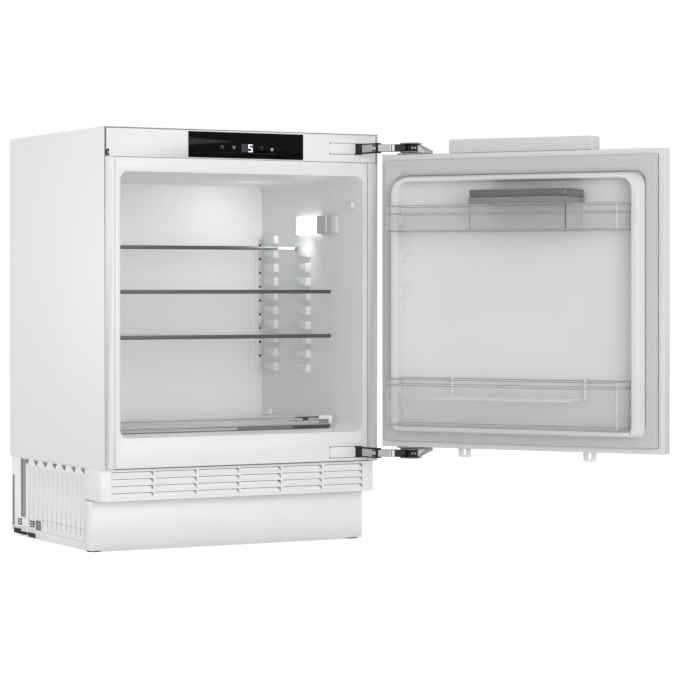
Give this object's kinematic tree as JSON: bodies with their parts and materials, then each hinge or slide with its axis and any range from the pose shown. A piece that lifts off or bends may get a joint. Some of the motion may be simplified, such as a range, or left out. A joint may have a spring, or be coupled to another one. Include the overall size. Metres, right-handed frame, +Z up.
{
  "type": "built-in under-counter fridge",
  "caption": "Built-in under-counter larder fridge with glass shelves, door racks with a lidded box and a bottle comb, and a door on folding two-link hinges.",
  "frame": {"origin": "on the floor, under the middle of the base", "axes": "+Z up, the compartment's mouth faces -Y, +X to the right seen from the front"},
  "size_m": [0.9343, 1.0603, 0.82],
  "materials": {
    "back_panel": "satin",
    "base_frame": "matte",
    "bottle_comb": "gloss",
    "bottom_shelf_front_trim": "gloss",
    "bottom_shelf_glass": "gloss",
    "box_lid": "gloss",
    "cabinet_bracket_lower": "satin",
    "cabinet_bracket_upper": "satin",
    "cabinet_pin_lower": "satin",
    "cabinet_pin_upper": "satin",
    "compressor": "satin",
    "condenser_coil": "satin",
    "control_fascia": "satin",
    "display_glass": "gloss",
    "door_bracket_lower": "satin",
    "door_bracket_upper": "satin",
    "door_fixing_cover": "matte",
    "door_gasket": "matte",
    "door_inner_liner": "satin",
    "door_insulation": "matte",
    "door_outer_panel": "satin",
    "door_pin_lower": "satin",
    "door_pin_upper": "satin",
    "door_switch": "satin",
    "drip_tray": "matte",
    "evaporator_plate": "satin",
    "fixing_tab_inner": "satin",
    "fixing_tab_outer": "satin",
    "foam_insulation": "matte",
    "front_foot_left": "matte",
    "front_foot_right": "matte",
    "hinge_cover_lower": "satin",
    "hinge_cover_upper": "satin",
    "inner_liner": "satin",
    "lamp_housing": "satin",
    "lamp_lens": "satin",
    "link_a_lower": "satin",
    "link_a_upper": "satin",
    "link_b_lower": "satin",
    "link_b_upper": "satin",
    "link_pin_lower": "satin",
    "link_pin_upper": "satin",
    "lower_rack": "gloss",
    "mains_inlet": "matte",
    "outer_shell": "satin",
    "plinth_panel": "satin",
    "rear_roller_left": "matte",
    "rear_roller_right": "matte",
    "roller_carrier_left": "matte",
    "roller_carrier_right": "matte",
    "shelf_lower_front_trim": "gloss",
    "shelf_lower_glass": "gloss",
    "shelf_middle_front_trim": "gloss",
    "shelf_middle_glass": "gloss",
    "shelf_upper_front_trim": "gloss",
    "shelf_upper_glass": "gloss",
    "storage_box": "gloss",
    "upper_rack": "gloss",
    "vent_grille": "satin"
  },
  "bodies": {
    "cabinet": {"back_panel": "back_panel", "base_frame": "base_frame", "cabinet_bracket_lower": "cabinet_bracket_lower", "cabinet_bracket_upper": "cabinet_bracket_upper", "cabinet_pin_lower": "cabinet_pin_lower", "cabinet_pin_upper": "cabinet_pin_upper", "compressor": "compressor", "condenser_coil": "condenser_coil", "control_fascia": "control_fascia", "display_glass": "display_glass", "drip_tray": "drip_tray", "evaporator_plate": "evaporator_plate", "foam_insulation": "foam_insulation", "hinge_cover_lower": "hinge_cover_lower", "hinge_cover_upper": "hinge_cover_upper", "inner_liner": "inner_liner", "lamp_housing": "lamp_housing", "lamp_lens": "lamp_lens", "mains_inlet": "mains_inlet", "outer_shell": "outer_shell", "plinth_panel": "plinth_panel", "roller_carrier_left": "roller_carrier_left", "roller_carrier_right": "roller_carrier_right", "vent_grille": "vent_grille"},
    "door": {"door_outer_panel": "door_outer_panel", "door_insulation": "door_insulation", "door_inner_liner": "door_inner_liner", "door_gasket": "door_gasket", "door_fixing_cover": "door_fixing_cover", "fixing_tab_inner": "fixing_tab_inner", "fixing_tab_outer": "fixing_tab_outer", "door_bracket_upper": "door_bracket_upper", "door_bracket_lower": "door_bracket_lower", "door_pin_upper": "door_pin_upper", "door_pin_lower": "door_pin_lower"},
    "hinge_link_a": {"link_a_upper": "link_a_upper", "link_a_lower": "link_a_lower", "link_pin_upper": "link_pin_upper", "link_pin_lower": "link_pin_lower"},
    "hinge_link_b": {"link_b_upper": "link_b_upper", "link_b_lower": "link_b_lower"},
    "upper_rack": {"upper_rack": "upper_rack"},
    "lower_rack": {"lower_rack": "lower_rack"},
    "storage_box": {"storage_box": "storage_box"},
    "box_lid": {"box_lid": "box_lid"},
    "bottle_comb": {"bottle_comb": "bottle_comb"},
    "shelf_upper": {"shelf_upper_glass": "shelf_upper_glass", "shelf_upper_front_trim": "shelf_upper_front_trim"},
    "shelf_middle": {"shelf_middle_glass": "shelf_middle_glass", "shelf_middle_front_trim": "shelf_middle_front_trim"},
    "shelf_lower": {"shelf_lower_glass": "shelf_lower_glass", "shelf_lower_front_trim": "shelf_lower_front_trim"},
    "bottom_shelf": {"bottom_shelf_glass": "bottom_shelf_glass", "bottom_shelf_front_trim": "bottom_shelf_front_trim"},
    "door_switch": {"door_switch": "door_switch"},
    "front_foot_left": {"front_foot_left": "front_foot_left"},
    "front_foot_right": {"front_foot_right": "front_foot_right"},
    "rear_roller_left": {"rear_roller_left": "rear_roller_left"},
    "rear_roller_right": {"rear_roller_right": "rear_roller_right"}
  },
  "joints": [
    {"name": "door_hinge", "type": "hinge", "parent": "hinge_link_b", "child": "door", "pos_m": [0.31012, -0.33547, 0.486], "axis": [0, 0, 1], "range_deg": [-140.32, 0]},
    {"name": "hinge_link_a_pivot", "type": "hinge", "parent": "cabinet", "child": "hinge_link_a", "pos_m": [0.257, -0.259, 0.486], "axis": [0, 0, 1], "range_deg": [-100.25, 0]},
    {"name": "hinge_link_b_pivot", "type": "hinge", "parent": "hinge_link_a", "child": "hinge_link_b", "pos_m": [0.26884, -0.30552, 0.486], "axis": [0, 0, 1], "range_deg": [0, 116.1]},
    {"name": "upper_rack_lift", "type": "slide", "parent": "door", "child": "upper_rack", "axis": [0, 0, 1], "range_m": [0, 0.008]},
    {"name": "lower_rack_lift", "type": "slide", "parent": "door", "child": "lower_rack", "axis": [0, 0, 1], "range_m": [0, 0.025]},
    {"name": "storage_box_slide", "type": "slide", "parent": "upper_rack", "child": "storage_box", "axis": [0.5664, -0.8241, 0], "range_m": [-0.165, 0.085]},
    {"name": "box_lid_hinge", "type": "hinge", "parent": "storage_box", "child": "box_lid", "pos_m": [0.45704, -0.59427, 0.6853], "axis": [-0.5664, 0.8241, 0], "range_deg": [0, 20]},
    {"name": "bottle_comb_slide", "type": "slide", "parent": "lower_rack", "child": "bottle_comb", "axis": [0.5664, -0.8241, 0], "range_m": [-0.083, 0.078]},
    {"name": "shelf_upper_slide", "type": "slide", "parent": "cabinet", "child": "shelf_upper", "axis": [0, -1, 0], "range_m": [0, 0.12]},
    {"name": "shelf_middle_slide", "type": "slide", "parent": "cabinet", "child": "shelf_middle", "axis": [0, -1, 0], "range_m": [0, 0.12]},
    {"name": "shelf_lower_slide", "type": "slide", "parent": "cabinet", "child": "shelf_lower", "axis": [0, -1, 0], "range_m": [0, 0.12]},
    {"name": "bottom_shelf_slide", "type": "slide", "parent": "cabinet", "child": "bottom_shelf", "axis": [0, -1, 0], "range_m": [0, 0.06]},
    {"name": "door_switch_press", "type": "slide", "parent": "cabinet", "child": "door_switch", "axis": [0, 1, 0], "range_m": [0, 0.003], "stiffness_N_per_m": 150},
    {"name": "front_foot_left_turn", "type": "hinge", "parent": "cabinet", "child": "front_foot_left", "pos_m": [-0.2835, -0.164, 0], "axis": [0, 0, 1], "continuous": true},
    {"name": "front_foot_right_turn", "type": "hinge", "parent": "cabinet", "child": "front_foot_right", "pos_m": [0.2835, -0.164, 0], "axis": [0, 0, 1], "continuous": true},
    {"name": "rear_roller_left_spin", "type": "hinge", "parent": "cabinet", "child": "rear_roller_left", "pos_m": [-0.276, 0.216, 0.011], "axis": [1, 0, 0], "continuous": true},
    {"name": "rear_roller_right_spin", "type": "hinge", "parent": "cabinet", "child": "rear_roller_right", "pos_m": [0.276, 0.216, 0.011], "axis": [1, 0, 0], "continuous": true}
  ],
  "couplings": [
    {"joint": "hinge_link_a_pivot", "follows": "door_hinge", "ratio": 0.71401},
    {"joint": "hinge_link_b_pivot", "follows": "door_hinge", "ratio": -0.82671}
  ]
}
